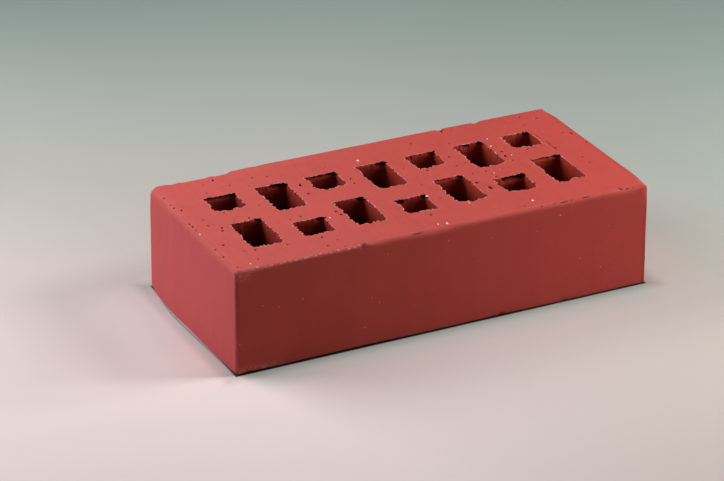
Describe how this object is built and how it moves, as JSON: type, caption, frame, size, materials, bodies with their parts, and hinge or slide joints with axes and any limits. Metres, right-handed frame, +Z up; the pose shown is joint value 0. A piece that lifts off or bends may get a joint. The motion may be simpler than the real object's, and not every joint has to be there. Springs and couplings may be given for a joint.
{
  "type": "perforated clay brick",
  "caption": "Red fired clay brick, wire-cut, with two staggered rows of long and short rectangular cells running through from bed to bed.",
  "frame": {"origin": "centre of the lower bed", "axes": "+X along the stretcher (length), +Y across the header (width) towards the row with the three long cells, +Z up through the cells, from the lower bed to the upper bed"},
  "size_m": [0.22, 0.105, 0.054],
  "materials": {
    "fired_clay": "matt, unglazed red clay: smooth die skin on the four sides, wire-dragged beds"
  },
  "bodies": {
    "root": {"brick": "fired_clay"}
  },
  "joints": []
}
